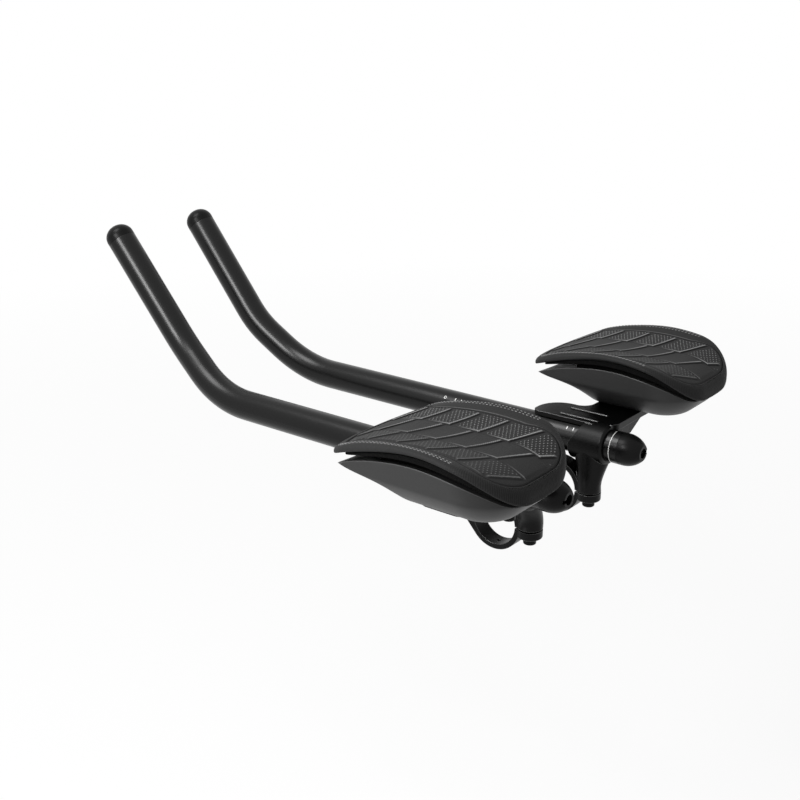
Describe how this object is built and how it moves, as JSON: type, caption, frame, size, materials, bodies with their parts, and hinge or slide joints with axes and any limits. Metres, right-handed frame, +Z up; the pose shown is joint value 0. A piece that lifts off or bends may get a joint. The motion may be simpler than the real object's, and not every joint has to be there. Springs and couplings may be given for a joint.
{
  "type": "clip-on aero handlebar extensions",
  "caption": "Pair of clip-on aero bars: bent extension tubes in clamps that grip a round handlebar, each with a padded, winged forearm rest.",
  "frame": {"origin": "on the handlebar's axis, midway between the two arms", "axes": "+X forward along the extensions, +Y to the rider's left along the handlebar, +Z up"},
  "size_m": [0.4506, 0.3102, 0.1718],
  "materials": {
    "anodised_tube": "matte black anodised",
    "end_cap": "satin moulded",
    "forging": "blasted and black anodised",
    "steel": "black oxide",
    "cup": "satin moulded nylon",
    "pad": "moulded foam with grain",
    "loop_lining": "loop pile",
    "hook_tape": "hook pile"
  },
  "bodies": {
    "brackets": {"left_bracket": "forging", "left_clamp_strap": "forging", "left_hinge_pin": "steel", "left_clamp_bolt": "steel", "left_pinch_bolts": "steel", "left_pinch_barrel_nut": "steel", "left_armrest_cup": "cup", "left_armrest_bolts": "steel", "left_armrest_washers": "steel", "left_hook_tape": "hook_tape", "left_loop_lining": "loop_lining", "left_armrest_pad": "pad", "right_bracket": "forging", "right_clamp_strap": "forging", "right_hinge_pin": "steel", "right_clamp_bolt": "steel", "right_pinch_bolts": "steel", "right_pinch_barrel_nut": "steel", "right_armrest_cup": "cup", "right_armrest_bolts": "steel", "right_armrest_washers": "steel", "right_hook_tape": "hook_tape", "right_loop_lining": "loop_lining", "right_armrest_pad": "pad"},
    "left_bar": {"left_extension": "anodised_tube", "left_front_end_cap": "end_cap", "left_rear_end_plug": "end_cap"},
    "right_bar": {"right_extension": "anodised_tube", "right_front_end_cap": "end_cap", "right_rear_end_plug": "end_cap"}
  },
  "joints": [
    {"name": "left_bar_slide", "type": "slide", "parent": "brackets", "child": "left_bar", "axis": [1, 0, 0], "range_m": [-0.08, 0.005]},
    {"name": "right_bar_slide", "type": "slide", "parent": "brackets", "child": "right_bar", "axis": [1, 0, 0], "range_m": [-0.08, 0.005]}
  ]
}
